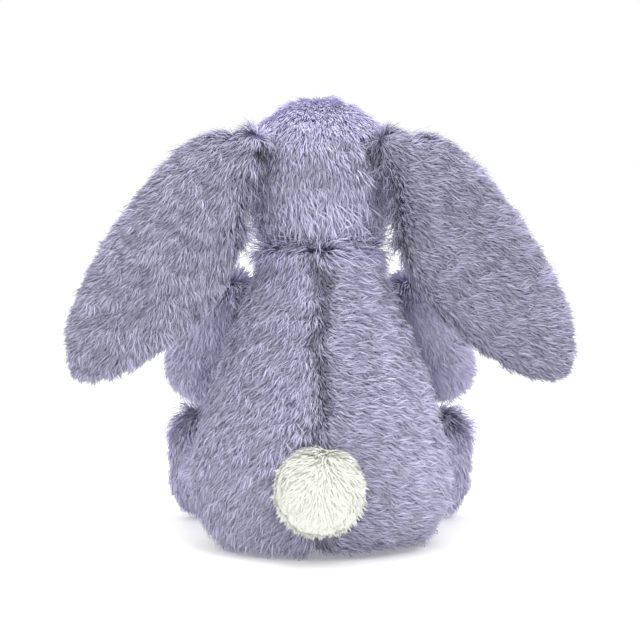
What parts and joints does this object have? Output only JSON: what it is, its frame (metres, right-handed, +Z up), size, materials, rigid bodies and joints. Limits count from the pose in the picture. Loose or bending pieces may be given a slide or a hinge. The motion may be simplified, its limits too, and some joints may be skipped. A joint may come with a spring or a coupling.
{
  "type": "stuffed bunny rabbit",
  "caption": "Seated stuffed rabbit in long lavender pile, with long ears hanging past its shoulders, a round cream tail, soft arms and upright feet.",
  "frame": {"origin": "middle of the flat seat that the rabbit sits on", "axes": "+Z up, the rabbit faces -Y, its own left side is +X"},
  "size_m": [0.2322, 0.1763, 0.2105],
  "materials": {
    "lavender_fur": "long soft lavender pile, combed, paler at its tips",
    "tail_fur": "long cream-white pile",
    "short_plush": "short smooth plush in a paler lavender",
    "fibre_filling": "white polyester fibre",
    "pouch_cloth": "plain woven cloth, full of plastic pellets",
    "sewing_thread": "polyester thread",
    "face_thread": "satin-stitched embroidery thread",
    "washer_plastic": "natural plastic",
    "eye_bead": "polished black"
  },
  "bodies": {
    "torso": {"torso_front": "lavender_fur", "torso_back_left": "lavender_fur", "torso_back_right": "lavender_fur", "torso_stuffing": "fibre_filling", "pellet_pouch": "pouch_cloth", "closing_stitches": "sewing_thread", "tail_cover": "tail_fur", "tail_stuffing": "fibre_filling"},
    "neck": {"neck_stuffing": "fibre_filling", "neck_thread": "sewing_thread"},
    "head": {"head_left": "lavender_fur", "head_right": "lavender_fur", "muzzle_panel": "lavender_fur", "head_stuffing": "fibre_filling", "nose": "face_thread", "mouth_stitching": "face_thread", "eye_left": "eye_bead", "eye_washer_left": "washer_plastic", "eye_right": "eye_bead", "eye_washer_right": "washer_plastic"},
    "ear_left": {"ear_lining_left": "short_plush", "ear_back_left": "lavender_fur"},
    "arm_left": {"arm_cover_left": "lavender_fur", "arm_stuffing_left": "fibre_filling"},
    "leg_left": {"leg_cover_left": "lavender_fur", "leg_stuffing_left": "fibre_filling", "foot_cover_left": "lavender_fur", "foot_stuffing_left": "fibre_filling", "sole_left": "short_plush"},
    "ear_right": {"ear_lining_right": "short_plush", "ear_back_right": "lavender_fur"},
    "arm_right": {"arm_cover_right": "lavender_fur", "arm_stuffing_right": "fibre_filling"},
    "leg_right": {"leg_cover_right": "lavender_fur", "leg_stuffing_right": "fibre_filling", "foot_cover_right": "lavender_fur", "foot_stuffing_right": "fibre_filling", "sole_right": "short_plush"}
  },
  "joints": [
    {"name": "neck_turn", "type": "hinge", "parent": "torso", "child": "neck", "pos_m": [0, -0.003, 0.168], "axis": [0, 0, 1], "range_deg": [-25, 25]},
    {"name": "neck_nod", "type": "hinge", "parent": "neck", "child": "head", "pos_m": [0, -0.003, 0.168], "axis": [-1, 0, 0], "range_deg": [-16, 10]},
    {"name": "ear_left_lift", "type": "hinge", "parent": "head", "child": "ear_left", "pos_m": [0.0315, 0, 0.19], "axis": [0, -1, 0], "range_deg": [0, 95]},
    {"name": "arm_left_swing", "type": "hinge", "parent": "torso", "child": "arm_left", "pos_m": [0.0445, -0.024, 0.114], "axis": [-1, 0, 0], "range_deg": [0, 100]},
    {"name": "leg_left_lift", "type": "hinge", "parent": "torso", "child": "leg_left", "pos_m": [0.041, -0.04503, 0.0185], "axis": [-0.6, 0, 0.8], "range_deg": [0, 32]},
    {"name": "ear_right_lift", "type": "hinge", "parent": "head", "child": "ear_right", "pos_m": [-0.0315, 0, 0.19], "axis": [0, 1, 0], "range_deg": [0, 95]},
    {"name": "arm_right_swing", "type": "hinge", "parent": "torso", "child": "arm_right", "pos_m": [-0.0445, -0.024, 0.114], "axis": [-1, 0, 0], "range_deg": [0, 100]},
    {"name": "leg_right_lift", "type": "hinge", "parent": "torso", "child": "leg_right", "pos_m": [-0.041, -0.04503, 0.0185], "axis": [-0.6, 0, -0.8], "range_deg": [0, 32]}
  ]
}
